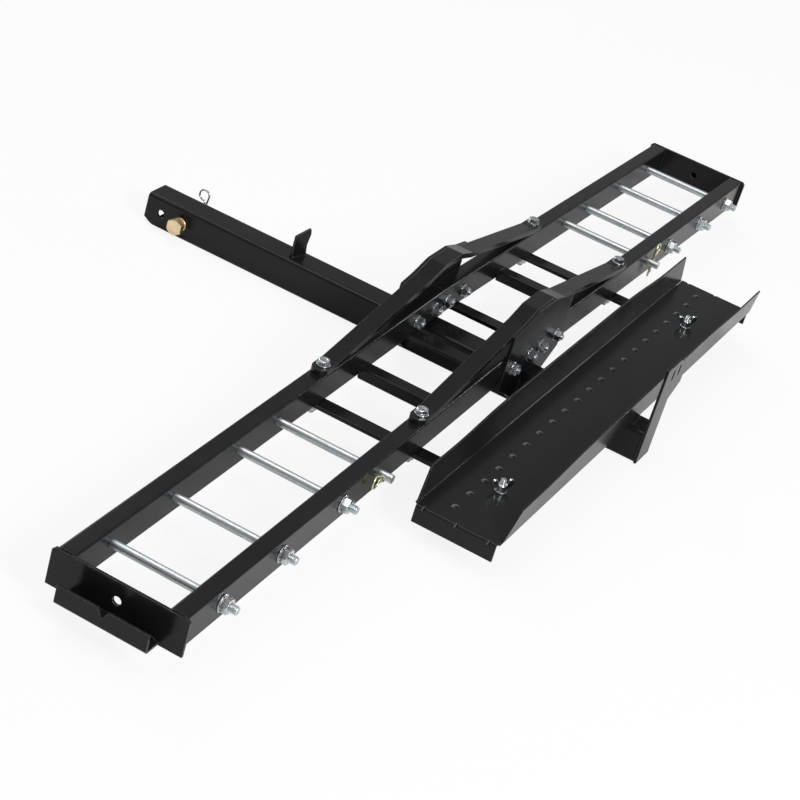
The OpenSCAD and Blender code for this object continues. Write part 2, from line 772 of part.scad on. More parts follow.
drawbar();
drawbar_tab();
rear_bracket();
hitch_pin();
hitch_pin_collar();
hitch_pin_clip();
rail(-1, -1);  // rail_near_left
rail(1, -1);  // rail_near_right
rail(-1, 1);  // rail_far_left
rail(1, 1);  // rail_far_right
end_plate(-1);  // end_plate_left
end_plate(1);  // end_plate_right
hook_channel(-1);  // hook_channel_left
hook_channel(1);  // hook_channel_right
ladder_rod(-1, rod_outer_x);  // rod_left_outer
ladder_rod(-1, rod_middle_x);  // rod_left_middle
ladder_rod(-1, rod_inner_x);  // rod_left_inner
ladder_rod(1, rod_outer_x);  // rod_right_outer
ladder_rod(1, rod_middle_x);  // rod_right_middle
ladder_rod(1, rod_inner_x);  // rod_right_inner
rod_nuts();
rod_washers();
stop_pin(-1);  // stop_pin_left
stop_pin(1);  // stop_pin_right
stop_clip(-1);  // stop_clip_left
stop_clip(1);  // stop_clip_right
side_plate(-1);  // side_plate_near
side_plate(1);  // side_plate_far
wing(-1);  // wing_near
wing(1);  // wing_far
base_bar(-1);  // base_bar_left
base_bar(1);  // base_bar_right
cross_tube(-1);  // cross_tube_left
cross_tube(1);  // cross_tube_right
support_bar(-1);  // support_bar_left
support_bar(1);  // support_bar_right
splice_bolts();
splice_washers();
splice_nuts();
wing_bolts();
wing_washers();
wing_bolt_nuts();
ramp();
ramp_studs();
ramp_washers();
wing_nut(-1);  // wing_nut_left
wing_nut(1);  // wing_nut_right
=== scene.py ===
import json
import math
import random

import bmesh
import bpy
from mathutils import Matrix, Vector


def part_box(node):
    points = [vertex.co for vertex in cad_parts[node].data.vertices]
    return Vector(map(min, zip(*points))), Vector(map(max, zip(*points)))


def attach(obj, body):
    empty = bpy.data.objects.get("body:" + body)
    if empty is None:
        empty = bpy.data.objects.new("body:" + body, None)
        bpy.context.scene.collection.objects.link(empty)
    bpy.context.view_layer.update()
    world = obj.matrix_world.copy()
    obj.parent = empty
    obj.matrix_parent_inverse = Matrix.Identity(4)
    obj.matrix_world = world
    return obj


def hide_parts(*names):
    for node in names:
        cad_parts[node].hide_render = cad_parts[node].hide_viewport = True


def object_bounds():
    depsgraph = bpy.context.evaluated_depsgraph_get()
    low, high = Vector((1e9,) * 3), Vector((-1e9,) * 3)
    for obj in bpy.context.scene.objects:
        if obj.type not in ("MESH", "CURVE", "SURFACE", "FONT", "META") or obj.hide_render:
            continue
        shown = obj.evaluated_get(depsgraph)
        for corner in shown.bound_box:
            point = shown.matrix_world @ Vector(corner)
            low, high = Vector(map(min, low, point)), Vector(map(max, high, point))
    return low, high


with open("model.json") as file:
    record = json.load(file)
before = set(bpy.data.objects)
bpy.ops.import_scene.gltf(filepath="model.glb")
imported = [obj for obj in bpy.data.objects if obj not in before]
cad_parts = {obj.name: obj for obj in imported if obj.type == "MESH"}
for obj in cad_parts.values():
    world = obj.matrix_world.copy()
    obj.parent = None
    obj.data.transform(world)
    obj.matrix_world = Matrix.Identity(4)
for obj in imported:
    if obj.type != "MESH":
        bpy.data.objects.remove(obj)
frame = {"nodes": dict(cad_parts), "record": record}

nodes = frame["nodes"]
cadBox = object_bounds()
scene = bpy.context.scene
mm = 0.001
print("frame loaded:", len(nodes), "nodes")


# Sizes that many pieces share, read from the frame

def middle(node):
    low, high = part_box(node)
    return (low + high) / 2


def size(node):
    low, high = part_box(node)
    return high - low


innerRod = middle("rod_right_inner")
outerRod = middle("rod_right_outer")
tilt = math.atan2(innerRod.z - outerRod.z, outerRod.x - innerRod.x)
railW = size("rail_far_right").y
railLow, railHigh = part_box("rail_near_right")
trackY = (railLow.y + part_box("rail_far_right")[1].y) / 2
halfW = trackY - railLow.y
crownZ = railHigh.z
railH = (railHigh.z - railLow.z - (railHigh.x - railLow.x) * math.tan(tilt)) * math.cos(tilt)
railL = (railHigh.x - railLow.x) / math.cos(tilt)
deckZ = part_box("drawbar")[1].z
barHalf = size("drawbar").x / 2


def halfPoint(side, x, y, z):  # x out along the rail, z up from its top
    return Vector((side * (x * math.cos(tilt) + z * math.sin(tilt)), trackY + y,
                   crownZ - x * math.sin(tilt) + z * math.cos(tilt)))


def halfUp(side):  # square to the rails of one half of the track
    return Vector((side * math.sin(tilt), 0, math.cos(tilt)))


def halfOut(side):  # along the rails to the track's end
    return Vector((side * math.cos(tilt), 0, -math.sin(tilt)))


def solids(node):  # lowest and highest corner of each separate solid of a CAD node
    bm = bmesh.new()
    bm.from_mesh(nodes[node].data)
    bmesh.ops.remove_doubles(bm, verts=bm.verts, dist=0.01 * mm)
    found = []
    seen = set()
    for start in bm.verts:
        if start in seen:
            continue
        seen.add(start)
        stack = [start]
        part = []
        while stack:
            vert = stack.pop()
            part.append(vert.co.copy())
            for edge in vert.link_edges:
                other = edge.other_vert(vert)
                if other not in seen:
                    seen.add(other)
                    stack.append(other)
        low = Vector([min(c[i] for c in part) for i in range(3)])
        high = Vector([max(c[i] for c in part) for i in range(3)])
        found.append((low, high))
    bm.free()
    return sorted(found, key=lambda pair: (round(pair[0].x, 3), round(pair[0].y, 3), pair[0].z))


# Camera at the photograph's place

cameraView = {
    "place": (-2.89093, -1.41413, 1.53138),
    "right": (0.44525, -0.85658, 0.26082),
    "up": (0.33163, 0.42832, 0.84057),
    "lens": 103.7,
    "sensor": 36.0,
    "reach": 50,
}


def makeCamera():
    data = bpy.data.cameras.new("camera")
    data.lens = cameraView["lens"]
    data.sensor_width = cameraView["sensor"]
    data.clip_end = cameraView["reach"]
    camera = bpy.data.objects.new("camera", data)
    scene.collection.objects.link(camera)
    right = Vector(cameraView["right"]).normalized()
    up = Vector(cameraView["up"]).normalized()
    turn = Matrix((right, up, right.cross(up))).transposed().to_4x4()
    camera.matrix_world = Matrix.Translation(cameraView["place"]) @ turn
    scene.camera = camera


makeCamera()
print("camera set")


# Steps that the materials share

edgeSamples = 6
cloudSpan = (0.3, 0.7)  # the part of a noise between whose ends a colour or gloss changes


def newMaterial(name):
    material = bpy.data.materials.new(name)
    material.use_nodes = True
    tree = material.node_tree
    tree.nodes.clear()
    return material, tree


def feed(tree, socket, value):  # value is a number, a colour or another node's output
    if hasattr(value, "is_output"):
        tree.links.new(value, socket)
    else:
        socket.default_value = value


def grey(value):
    return (value, value, value, 1)


def colourRamp(tree, source, stops):
    node = tree.nodes.new("ShaderNodeValToRGB")
    marks = node.color_ramp.elements
    while len(marks) < len(stops):
        marks.new(0.5)
    for mark, (place, colour) in zip(marks, stops):
        mark.position = place
        mark.color = colour
    feed(tree, node.inputs["Fac"], source)
    return node.outputs["Color"]


def greyRamp(tree, source, places, values):
    return colourRamp(tree, source, [(p, grey(v)) for p, v in zip(places, values)])


def noise(tree, coords, scale, detail, rough):
    node = tree.nodes.new("ShaderNodeTexNoise")
    node.inputs["Scale"].default_value = scale
    node.inputs["Detail"].default_value = detail
    node.inputs["Roughness"].default_value = rough
    feed(tree, node.inputs["Vector"], coords)
    return node.outputs["Fac"]


def blend(tree, amount, low, high, kind="MIX"):
    node = tree.nodes.new("ShaderNodeMix")
    node.data_type = "RGBA"
    node.blend_type = kind
    for place, value in ((0, amount), (6, low), (7, high)):  # the node's colour sockets
        feed(tree, node.inputs[place], value)
    return node.outputs[2]


def mathNode(tree, operation, first, second=0.0):
    node = tree.nodes.new("ShaderNodeMath")
    node.operation = operation
    for socket, value in zip(node.inputs, (first, second)):
        feed(tree, socket, value)
    return node.outputs[0]


def edgeMask(tree, radius):  # the rounded normal, and its share of the face's, below 1 at edges
    bevel = tree.nodes.new("ShaderNodeBevel")
    bevel.samples = edgeSamples
    bevel.inputs["Radius"].default_value = radius
    plain = tree.nodes.new("ShaderNodeNewGeometry")
    dot = tree.nodes.new("ShaderNodeVectorMath")
    dot.operation = "DOT_PRODUCT"
    feed(tree, dot.inputs[0], bevel.outputs["Normal"])
    feed(tree, dot.inputs[1], plain.outputs["Normal"])
    return bevel.outputs["Normal"], dot.outputs["Value"]


def addBump(tree, shader, height, normal, look):
    bump = tree.nodes.new("ShaderNodeBump")
    bump.inputs["Strength"].default_value = look["bump"]
    bump.inputs["Distance"].default_value = look["bumpDepth"]
    feed(tree, bump.inputs["Height"], height)
    feed(tree, bump.inputs["Normal"], normal)
    feed(tree, shader.inputs["Normal"], bump.outputs["Normal"])


def finish(tree, shader):
    out = tree.nodes.new("ShaderNodeOutputMaterial")
    feed(tree, out.inputs["Surface"], shader.outputs[0])


# Black powder coat with a painted highlight along its edges, worn through where asked

coat = {
    "colour": (0.0080, 0.0081, 0.0085, 1),
    "lighter": (0.0118, 0.0120, 0.0124, 1),
    # thin: lighter grey painted along convex edges as a highlight
    "thin": (0.075, 0.075, 0.073, 1),
    # pale grey of the steel where the coat is worn through; also the painted highlight on the
    # ramp's dimples
    "paleGrey": (0.16, 0.16, 0.155, 1),
    "roughness": (0.17, 0.24),
    "shine": 0.24,
    "bump": 0.22,
    "bumpDepth": 0.00012,
    # scale, detail and roughness of each noise
    "grain": (1 / 0.0011, 3.0, 0.6),
    "cloud": (9.0, 3.0, 0.55),
    "patch": (60.0, 4.0, 0.65),
    # reach of an edge in metres, and the shares of the normal between which its painted highlight
    # and its wear fade
    "edge": 0.0013,
    "edgeHighlightAt": (0.84, 0.985),
    "wearEdge": 0.0022,
    "wornAt": (0.80, 0.97),
    "tornAt": (0.50, 0.68),
    "wear": 0.8,
}
# The ramp's dimples in millimetres, with a slanting dash of painted highlight on each
dimple = {
    "count": 21, "end": 39.0, "row": 21.0, "rise": 2.2,
    "lean": -38.0, "dash": 3.0, "dashHighlight": 0.9,
    "fade": 0.5, "cap": 1.5,  # shares of the rise: full painted highlight above fade, none above cap
}


def dimpleHighlightMask(tree, coords):  # 0 on the ramp's floor, 1 on a slanting dash of painted highlight over each dimple
    def calc(operation, first, second=0.0):
        return mathNode(tree, operation, first, second)

    low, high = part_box("ramp")
    rowY = middle("ramp").y + dimple["row"] * mm
    firstX = low.x + dimple["end"] * mm
    pitch = (high.x - low.x - 2 * dimple["end"] * mm) / (dimple["count"] - 1)
    lean = math.radians(dimple["lean"])
    split = tree.nodes.new("ShaderNodeSeparateXYZ")
    feed(tree, split.inputs[0], coords)
    step = calc("DIVIDE", calc("SUBTRACT", split.outputs["X"], firstX - pitch / 2), pitch)
    x = calc("MULTIPLY", calc("SUBTRACT", calc("FRACT", step), 0.5), pitch)
    y = calc("SUBTRACT", split.outputs["Y"], rowY)
    across = calc("SUBTRACT", calc("MULTIPLY", y, math.cos(lean)),
                  calc("MULTIPLY", x, math.sin(lean)))
    gap = calc("DIVIDE", calc("ABSOLUTE", across), dimple["dash"] * mm)
    near = calc("MAXIMUM", calc("SUBTRACT", 1.0, gap), 0.0)
    above = calc("SUBTRACT", split.outputs["Z"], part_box("ramp_washers")[0].z)
    rise = calc("MINIMUM", calc("DIVIDE", above, dimple["fade"] * dimple["rise"] * mm), 1.0)
    onDimple = calc("LESS_THAN", above, dimple["cap"] * dimple["rise"] * mm)
    return calc("MULTIPLY", calc("MULTIPLY", near, onDimple), calc("MAXIMUM", rise, 0.0))


def makeCoat(name, wear=0, mask=None):
    material, tree = newMaterial(name)
    coords = tree.nodes.new("ShaderNodeTexCoord").outputs["Object"]
    grain = noise(tree, coords, *coat["grain"])
    cloud = noise(tree, coords, *coat["cloud"])
    normal, level = edgeMask(tree, coat["edge"])
    shader = tree.nodes.new("ShaderNodeBsdfPrincipled")
    # painted highlight: lighter grey along convex edges, where the bevel normal leaves the face's
    thin = greyRamp(tree, level, coat["edgeHighlightAt"], (1, 0))
    plain = blend(tree, cloud, coat["colour"], coat["lighter"])
    colour = blend(tree, thin, plain, coat["thin"])
    if wear:
        _, flat = edgeMask(tree, coat["wearEdge"])
        paleGrey = greyRamp(tree, flat, coat["wornAt"], (1, 0))
        patch = noise(tree, coords, *coat["patch"])
        torn = greyRamp(tree, patch, coat["tornAt"], (0, 1))
        amount = blend(tree, 1.0, paleGrey, torn, "MULTIPLY")
        fine = blend(tree, 1.0, amount, grey(wear), "MULTIPLY")
        colour = blend(tree, fine, colour, coat["paleGrey"])
    # painted highlight: a pale slanting dash on each of the ramp's dimples
    if mask:
        dashHighlight = mathNode(tree, "MULTIPLY", mask(tree, coords), dimple["dashHighlight"])
        colour = blend(tree, dashHighlight, colour, coat["paleGrey"])
    feed(tree, shader.inputs["Base Color"], colour)
    rough = greyRamp(tree, cloud, cloudSpan, coat["roughness"])
    feed(tree, shader.inputs["Roughness"], rough)
    shader.inputs["Specular IOR Level"].default_value = coat["shine"]
    addBump(tree, shader, grain, normal, coat)
    finish(tree, shader)
    return material


# Zinc plate, bright or yellow

plating = {"cloud": (70.0, 3.0, 0.6), "grainDetail": (3.0, 0.6), "bump": 0.25, "bumpDepth": 0.00006}
rodZinc = {
    "colours": [(0.68, 0.70, 0.71, 1), (0.58, 0.62, 0.64, 1)],
    "roughness": (0.30, 0.46),
    "grain": 0.0009,
    "edge": 0.0003,
}
nutZinc = {
    "colours": [(0.76, 0.78, 0.79, 1), (0.62, 0.66, 0.68, 1)],
    "roughness": (0.18, 0.34),
    "grain": 0.0009,
    "edge": 0.0004,
}
pinZinc = {
    "colours": [(0.94, 0.76, 0.56, 1), (0.90, 0.70, 0.46, 1), (0.80, 0.62, 0.34, 1)],
    "roughness": (0.30, 0.42),
    "grain": 0.0008,
    "edge": 0.0004,
}
clipZinc = {
    "colours": [(0.74, 0.74, 0.52, 1), (0.66, 0.66, 0.42, 1), (0.58, 0.58, 0.38, 1)],
    "roughness": (0.28, 0.40),
    "grain": 0.0008,
    "edge": 0.0004,
}


def makeZinc(name, plate):
    colours = plate["colours"]
    material, tree = newMaterial(name)
    coords = tree.nodes.new("ShaderNodeTexCoord").outputs["Object"]
    cloud = noise(tree, coords, *plating["cloud"])
    grain = noise(tree, coords, 1 / plate["grain"], *plating["grainDetail"])
    normal, _ = edgeMask(tree, plate["edge"])
    shader = tree.nodes.new("ShaderNodeBsdfPrincipled")
    shader.inputs["Metallic"].default_value = 1.0
    low, high = cloudSpan
    stops = [(low + (high - low) * i / (len(colours) - 1), c) for i, c in enumerate(colours)]
    feed(tree, shader.inputs["Base Color"], colourRamp(tree, cloud, stops))
    rough = greyRamp(tree, cloud, cloudSpan, plate["roughness"])
    feed(tree, shader.inputs["Roughness"], rough)
    addBump(tree, shader, grain, normal, plating)
    finish(tree, shader)
    return material


blackCoat = makeCoat("blackPowderCoat")
wornCoat = makeCoat("blackCoatWornAtEdges", coat["wear"])
rampCoat = makeCoat("blackCoatHighlightOnDimples", 0, dimpleHighlightMask)
rodPlate = makeZinc("brightZincOnRods", rodZinc)
brightZinc = makeZinc("brightZinc", nutZinc)
pinPlate = makeZinc("yellowZincOnPin", pinZinc)
clipPlate = makeZinc("yellowZincOnClips", clipZinc)
finishes = {"black_powder_coat": blackCoat, "bright_zinc": brightZinc, "yellow_zinc": pinPlate}


def coatNodes():
    slots = {part["node"]: part["material_slot"] for part in frame["record"]["subparts"]}
    for name, piece in nodes.items():
        material = finishes[slots[name]]
        if name.startswith(("hook_channel", "side_plate", "end_plate")):
            material = wornCoat
        if name == "ramp":
            material = rampCoat
        if name.startswith("stop_pin"):
            material = rodPlate
        if not piece.material_slots:
            piece.data.materials.append(material)
        for slot in piece.material_slots:
            slot.material = material


coatNodes()
print("materials made")


# Rings of points joined into closed skins

def loft(bm, rings, place=Matrix.Identity(4), looped=False):
    rows = [[bm.verts.new(place @ (point * mm)) for point in ring] for ring in rings]
    count = len(rows[0])
    pairs = list(zip(rows, rows[1:]))
    if looped:
        pairs.append((rows[-1], rows[0]))
    for lower, upper in pairs:
        for i in range(count):
            j = (i + 1) % count
            bm.faces.new((lower[i], lower[j], upper[j], upper[i]))
    if not looped:
        bm.faces.new(list(reversed(rows[0])))
        bm.faces.new(rows[-1])


def ring(radius, z, sides):  # radius and z are numbers or functions of the angle
    points = []
    for i in range(sides):
        a = 2 * math.pi * i / sides
        r = radius(a) if callable(radius) else radius
        h = z(a) if callable(z) else z
        points.append(Vector((r * math.cos(a), r * math.sin(a), h)))
    return points


def pieceFrom(bm, name, material, body, replaced=(), crease=35):  # crease in degrees
    bmesh.ops.recalc_face_normals(bm, faces=bm.faces)
    for face in bm.faces:
        face.smooth = True
    for edge in bm.edges:
        edge.smooth = edge.calc_face_angle(0) < math.radians(crease)
    mesh = bpy.data.meshes.new(name)
    bm.to_mesh(mesh)
    bm.free()
    piece = bpy.data.objects.new(name, mesh)
    scene.collection.objects.link(piece)
    mesh.materials.append(material)
    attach(piece, body)
    if replaced:
        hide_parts(*replaced)


def along(origin, axis, spin=0.0):  # local +Z lies on axis, turned about it by spin
    turn = Vector(axis).to_track_quat("Z", "Y").to_matrix().to_4x4()
    return Matrix.Translation(origin) @ turn @ Matrix.Rotation(spin, 4, "Z")


# Shapes of fasteners, in millimetres on their own axis

hexagon = {"crown": 0.95, "slope": math.tan(math.radians(30)), "sides": 72}
nutHole = {"play": 0.02, "chamfer": 0.07}
washer = {"edge": 0.18, "sides": 56}
thread = {"depth": 0.61, "steps": 6, "flank": 1.35, "crest": 0.15, "tip": 1.1, "taper": 0.9}
sunk = 0.2  # how far a shank starts inside its head


def hexShape(af):  # radius at each angle, that of its turned face, and how far corners drop
    crown = hexagon["crown"] * af / 2

    def radius(a):
        return af / 2 / math.cos(a % (math.pi / 3) - math.pi / 6)

    def drop(a):
        return (radius(a) - crown) * hexagon["slope"]
    return radius, crown, drop


def addNut(bm, place, kind, h):
    radius, crown, drop = hexShape(kind["af"])
    n = hexagon["sides"]
    hole = kind["d"] / 2 + nutHole["play"]
    rise = nutHole["chamfer"] * kind["d"]
    rings = [ring(hole + rise, 0, n), ring(crown, 0, n), ring(radius, drop, n),
             ring(radius, lambda a: h - drop(a), n), ring(crown, h, n), ring(hole + rise, h, n),
             ring(hole, h - rise, n), ring(hole, rise, n)]
    loft(bm, rings, place, looped=True)


def addHead(bm, place, af, h, foot, dish):  # foot is the heights of the step up to the corners
    radius, crown, drop = hexShape(af)
    n = hexagon["sides"]
    wide, deep, sink = dish
    rings = [ring(crown, z, n) for z in (0, *foot[:-1])]
    rings += [ring(radius, foot[-1], n), ring(radius, lambda a: h - drop(a), n),
              ring(crown, h, n), ring(crown * wide, h, n), ring(crown * deep, h - sink, n)]
    loft(bm, rings, place)


def addWasher(bm, place, outer, inner, t):
    e = washer["edge"] * t
    n = washer["sides"]
    rings = [ring(inner, e, n), ring(inner + e, 0, n), ring(outer - e, 0, n), ring(outer, e, n),
             ring(outer, t - e, n), ring(outer - e, t, n), ring(inner + e, t, n),
             ring(inner, t - e, n)]
    loft(bm, rings, place, looped=True)


def threadRings(d, pitch, start, end, sides):  # z rises from start to a tapered tip at end
    depth = thread["depth"] * pitch
    count = int((end - start) / pitch * thread["steps"])
    rings = []
    for k in range(count + 1):
        z = start + (end - start) * k / count
        limit = min(d / 2, d / 2 - depth * thread["tip"] + (end - z) * thread["taper"])

        def radius(a):
            wave = abs(((z / pitch - a / (2 * math.pi)) % 1.0) - 0.5) * 2
            cut = min(max(thread["flank"] * wave - thread["crest"], 0), 1)
            return min(limit, d / 2 - depth * cut)
        rings.append(ring(radius, z, sides))
    return rings


def addShank(bm, place, kind, length):  # from z = 0 up, threaded at its end
    n = kind["sides"]
    r = kind["plain"] * kind["d"] / 2
    start = length - kind["threadL"]
    rings = [ring(r, -sunk, n), ring(r, start, n)]
    rings += threadRings(kind["d"], kind["pitch"], start + kind["runOut"], length, n)
    loft(bm, rings, place)


def addBolt(bm, place, kind, headH, length):  # head above z = 0, shank below
    addHead(bm, place, kind["af"], headH, kind["foot"], kind["dish"])
    addShank(bm, place @ Matrix.Rotation(math.pi, 4, "X"), kind, length)


def addRound(bm, place, profile, sides=48):  # profile of (radius, height) pairs, closed at ends
    loft(bm, [ring(r, z, sides) for r, z in profile], place)


# Ladder rods, bolts and studs, in millimetres; af is the width of a hexagon across its flats

nutTurns = random.Random(4)
rod = {
    "d": 12, "pitch": 1.75, "threadL": 34, "runOut": 0.4, "plain": 0.995, "sides": 32,
    "af": 18.96, "headT": 4, "headEdge": 0.25, "washerPlay": 0.1,
}
bolt = {
    "d": 9, "pitch": 1.5, "threadL": 26, "runOut": 0.3, "plain": 1.0, "sides": 24,
    "af": 15.3, "headH": 5.76, "firstHeadH": 6.4, "foot": (0.25, 0.4), "dish": (0.72, 0.66, 0.2),
    "nutH": 7.56, "washerT": 2.0, "washerPlay": 0.1,
}
stud = {
    "d": 8, "pitch": 1.25, "threadL": 22, "runOut": 0.3, "plain": 1.0, "sides": 24,
    "af": 13.6, "headH": 5.12, "foot": (0.25, 0.4), "dish": (0.72, 0.66, 0.2),
    "washerPlay": 0.15,
}


def turned():
    return nutTurns.uniform(0, math.pi / 3)


def makeRods():
    t = rod["headT"]
    e = rod["headEdge"] * t
    for side in ("left", "right"):
        for row in ("outer", "middle", "inner"):
            name = "rod_%s_%s" % (side, row)
            low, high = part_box(name)
            centre = middle(name)
            seat = Vector((centre.x, high.y - t * mm, centre.z))
            place = along(seat, (0, -1, 0))
            r = (high.z - low.z) / 2 / mm
            bm = bmesh.new()
            addRound(bm, place, [(r - 2 * e, -t), (r - 0.7 * e, 0.4 * e - t), (r, e - t),
                                 (r, -0.1), (r - 0.2, 0)])
            addShank(bm, place, rod, (seat.y - low.y) / mm)
            label = "ladderRod" + side.capitalize() + row.capitalize()
            pieceFrom(bm, label, rodPlate, "carrier", (name,))


def makeNuts(node, label, kind):  # on the near side of the rails
    bm = bmesh.new()
    for low, high in solids(node):
        centre = (low + high) / 2
        place = along(Vector((centre.x, low.y, centre.z)), (0, 1, 0), turned())
        addNut(bm, place, kind, (high.y - low.y) / mm)
    pieceFrom(bm, label, brightZinc, "carrier", (node,))


def makeWashers(node, label, kind):  # under the nuts on the near side of the rails
    bm = bmesh.new()
    for low, high in solids(node):
        centre = (low + high) / 2
        place = along(Vector((centre.x, low.y, centre.z)), (0, 1, 0))
        addWasher(bm, place, (high.z - low.z) / 2 / mm, kind["d"] / 2 + kind["washerPlay"],
                  (high.y - low.y) / mm)
    pieceFrom(bm, label, brightZinc, "carrier", (node,))


def makeSpliceBolts():
    bm = bmesh.new()
    headH = bolt["firstHeadH"]  # one head is a little taller than the others
    for low, high in solids("splice_bolts"):
        centre = (low + high) / 2
        seat = Vector((centre.x, high.y - headH * mm, centre.z))
        length = (high.y - low.y) / mm - headH
        addBolt(bm, along(seat, (0, 1, 0), turned()), bolt, headH, length)
        headH = bolt["headH"]
    pieceFrom(bm, "spliceBoltsWithThreads", brightZinc, "carrier",
              ("splice_bolts",))


def makeWingBolts():
    bm = bmesh.new()
    headH = bolt["headH"]
    for low, high in solids("wing_bolts"):
        axis = halfUp(1 if low.x > 0 else -1)
        centre = (low + high) / 2
        lean = (high.x - low.x) / 2 * math.sin(tilt)
        seat = Vector((centre.x, centre.y, high.z - lean)) - axis * headH * mm
        length = (high.z - low.z - lean) / mm - headH
        addBolt(bm, along(seat, axis, turned()), bolt, headH, length)
    pieceFrom(bm, "wingBoltsWithThreads", brightZinc, "carrier", ("wing_bolts",))
    bm = bmesh.new()
    h = bolt["nutH"]
    for low, high in solids("wing_bolt_nuts"):
        axis = halfUp(1 if low.x > 0 else -1)
        centre = (low + high) / 2
        addNut(bm, along(centre - axis * h / 2 * mm, axis, turned()), bolt, h)
    pieceFrom(bm, "wingBoltNutsWithChamfers", brightZinc, "carrier",
              ("wing_bolt_nuts",))
    bm = bmesh.new()
    t = bolt["washerT"]
    for low, high in solids("wing_washers"):
        axis = halfUp(1 if low.x > 0 else -1)
        centre = (low + high) / 2
        addWasher(bm, along(centre - axis * t / 2 * mm, axis), (high.y - low.y) / 2 / mm,
                  bolt["d"] / 2 + bolt["washerPlay"], t)
    pieceFrom(bm, "wingWashersWithEdges", brightZinc, "carrier",
              ("wing_washers",))


def makeRampStuds():
    bm = bmesh.new()
    headH = stud["headH"]
    for low, high in solids("ramp_studs"):
        centre = (low + high) / 2
        seat = Vector((centre.x, centre.y, low.z + headH * mm))
        length = (high.z - low.z) / mm - headH
        addBolt(bm, along(seat, (0, 0, -1), turned()), stud, headH, length)
    pieceFrom(bm, "rampStudsWithThreads", brightZinc, "carrier", ("ramp_studs",))
    bm = bmesh.new()
    for low, high in solids("ramp_washers"):
        centre = (low + high) / 2
        place = along(Vector((centre.x, centre.y, low.z)), (0, 0, 1))
        addWasher(bm, place, (high.x - low.x) / 2 / mm, stud["d"] / 2 + stud["washerPlay"],
                  (high.z - low.z) / mm)
    pieceFrom(bm, "rampWashersWithEdges", brightZinc, "ramp", ("ramp_washers",))


makeRods()
makeNuts("rod_nuts", "rodNutsWithChamfers", rod)
makeWashers("rod_washers", "rodWashersWithEdges", rod)
makeSpliceBolts()
makeNuts("splice_nuts", "spliceNutsWithChamfers", bolt)
makeWashers("splice_washers", "spliceWashersWithEdges", bolt)
makeWingBolts()
makeRampStuds()
print("rods, bolts, nuts and washers made")


# Cast wing nuts, in millimetres

wingNut = {
    "hubD": 15.5, "hubTop": 12.0, "hubH": 9.0, "hubEdge": 0.8,
    "span": 34.0, "earT": 3.6, "earH": 16.5, "earR": 4.6, "earRoot": 2.0,
    "turn": -38, "voxel": 0.45, "soften": 6, "crease": 60,
}


def addEar(bm, side):  # from inside the hub out to a round tip
    w = wingNut
    root = side * w["earRoot"]
    tip = Vector((side * (w["span"] / 2 - w["earR"]), 0, w["earH"] - w["earR"]))
    outline = [Vector((root, 0, w["hubEdge"])),
               Vector((side * w["hubD"] * 0.52, 0, w["hubEdge"])),
               Vector((side * (w["span"] / 2 - 2.2), 0, w["earH"] * 0.42))]
    for degrees in range(-40, 161, 25):
        a = math.radians(degrees)
        out = Vector((side * w["earR"] * math.cos(a), 0, w["earR"] * math.sin(a)))
        outline.append(tip + out)
    outline += [Vector((side * w["hubTop"] * 0.52, 0, w["hubH"] * 0.98)),
                Vector((root, 0, w["hubH"]))]
    loft(bm, [[Vector((p.x, y, p.z)) for p in outline] for y in (-w["earT"] / 2, w["earT"] / 2)])


def makeWingNut(node, label):
    w = wingNut
    low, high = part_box(node)
    centre = (low + high) / 2
    turn = Matrix.Rotation(math.radians(w["turn"]), 4, "Z")
    place = Matrix.Translation((centre.x, centre.y, low.z)) @ turn
    bm = bmesh.new()
    e = w["hubEdge"]
    addRound(bm, Matrix.Identity(4), [(w["hubD"] / 2 - e, 0), (w["hubD"] / 2, e),
                                      (w["hubTop"] / 2 + 0.5, w["hubH"] - e),
                                      (w["hubTop"] / 2 - 0.6, w["hubH"])])
    for side in (-1, 1):
        addEar(bm, side)
    bmesh.ops.recalc_face_normals(bm, faces=bm.faces)
    mesh = bpy.data.meshes.new(label + "Rough")
    bm.to_mesh(mesh)
    bm.free()
    rough = bpy.data.objects.new(label + "Rough", mesh)
    scene.collection.objects.link(rough)
    skin = rough.modifiers.new("skin", "REMESH")
    skin.mode = "VOXEL"
    skin.voxel_size = w["voxel"] * mm
    soft = rough.modifiers.new("soft", "SMOOTH")
    soft.iterations = w["soften"]
    soft.factor = 0.5
    bpy.context.view_layer.update()
    graph = bpy.context.evaluated_depsgraph_get()
    cast = bpy.data.meshes.new_from_object(rough.evaluated_get(graph))
    bpy.data.objects.remove(rough)
    bm = bmesh.new()
    bm.from_mesh(cast)
    lift = (high.z - low.z) / max(v.co.z for v in bm.verts)
    bm.transform(place @ Matrix.Diagonal((1, 1, lift, 1)))
    pieceFrom(bm, label, brightZinc, node, (node,), w["crease"])


makeWingNut("wing_nut_left", "castWingNutLeft")
makeWingNut("wing_nut_right", "castWingNutRight")
print("wing nuts made")


# Hitch pin with its hexagon head and collar, in millimetres

hitchPin = {
    "d": 15.9, "af": 24.0, "headH": 10.0, "foot": (0.5,), "dish": (0.8, 0.76, 0.25),
    "nose": 3.0, "noseD": 10.9, "collarPlay": 0.1,
}


